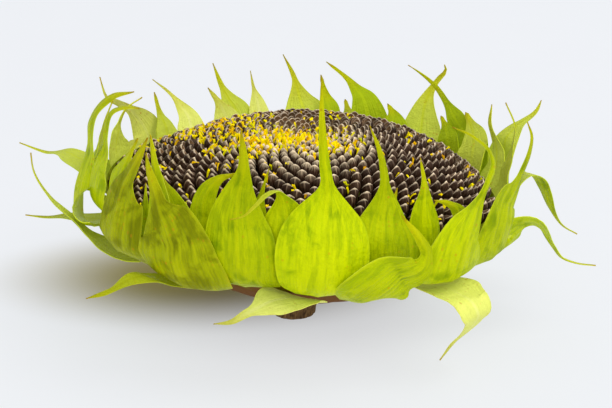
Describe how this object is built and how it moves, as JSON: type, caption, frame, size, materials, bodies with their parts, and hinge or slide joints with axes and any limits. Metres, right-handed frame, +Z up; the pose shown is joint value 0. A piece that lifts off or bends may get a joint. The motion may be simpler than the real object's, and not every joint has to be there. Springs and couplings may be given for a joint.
{
  "type": "sunflower seed head",
  "caption": "Ripe sunflower head cut with a short stub of stem, lying face up: a domed disc of spiral seeds with dried florets, ringed by pointed green bracts, some of them hanging outward.",
  "frame": {"origin": "middle of the head's outline seen from above, at the height of the table that the cut stem stands on", "axes": "+Z up, out of the face of seeds; -Y toward the front, where the tallest bract stands; +X to the right, the side to which the head leans a little"},
  "size_m": [0.2246, 0.1898, 0.1157],
  "materials": {
    "stem": "matte",
    "receptacle": "matte",
    "seed": "satin",
    "bract": "satin",
    "floret": "matte"
  },
  "bodies": {
    "root": {"stem_stub": "stem", "receptacle": "receptacle", "seed_disc": "seed", "bract_outer_01": "bract", "bract_outer_02": "bract", "bract_outer_03": "bract", "bract_outer_04": "bract", "bract_outer_05": "bract", "bract_outer_06": "bract", "bract_outer_07": "bract", "bract_outer_08": "bract", "bract_outer_09": "bract", "bract_outer_10": "bract", "bract_middle_01": "bract", "bract_middle_02": "bract", "bract_middle_03": "bract", "bract_middle_04": "bract", "bract_middle_05": "bract", "bract_middle_06": "bract", "bract_middle_07": "bract", "bract_middle_08": "bract", "bract_middle_09": "bract", "bract_middle_10": "bract", "bract_middle_11": "bract", "bract_middle_12": "bract", "bract_middle_13": "bract", "bract_inner_01": "bract", "bract_inner_02": "bract", "bract_inner_03": "bract", "bract_inner_04": "bract", "bract_inner_05": "bract", "bract_inner_06": "bract", "bract_inner_07": "bract", "bract_inner_08": "bract", "bract_inner_09": "bract", "bract_inner_10": "bract", "bract_inner_11": "bract", "bract_inner_12": "bract", "bract_inner_13": "bract", "bract_inner_14": "bract", "bract_inner_15": "bract", "bract_inner_16": "bract", "bract_inner_17": "bract", "bract_hanging_01": "bract", "bract_hanging_02": "bract", "bract_hanging_03": "bract", "bract_hanging_04": "bract", "bract_hanging_05": "bract", "bract_hanging_06": "bract", "bract_hanging_07": "bract", "bract_hanging_08": "bract"}
  },
  "joints": []
}
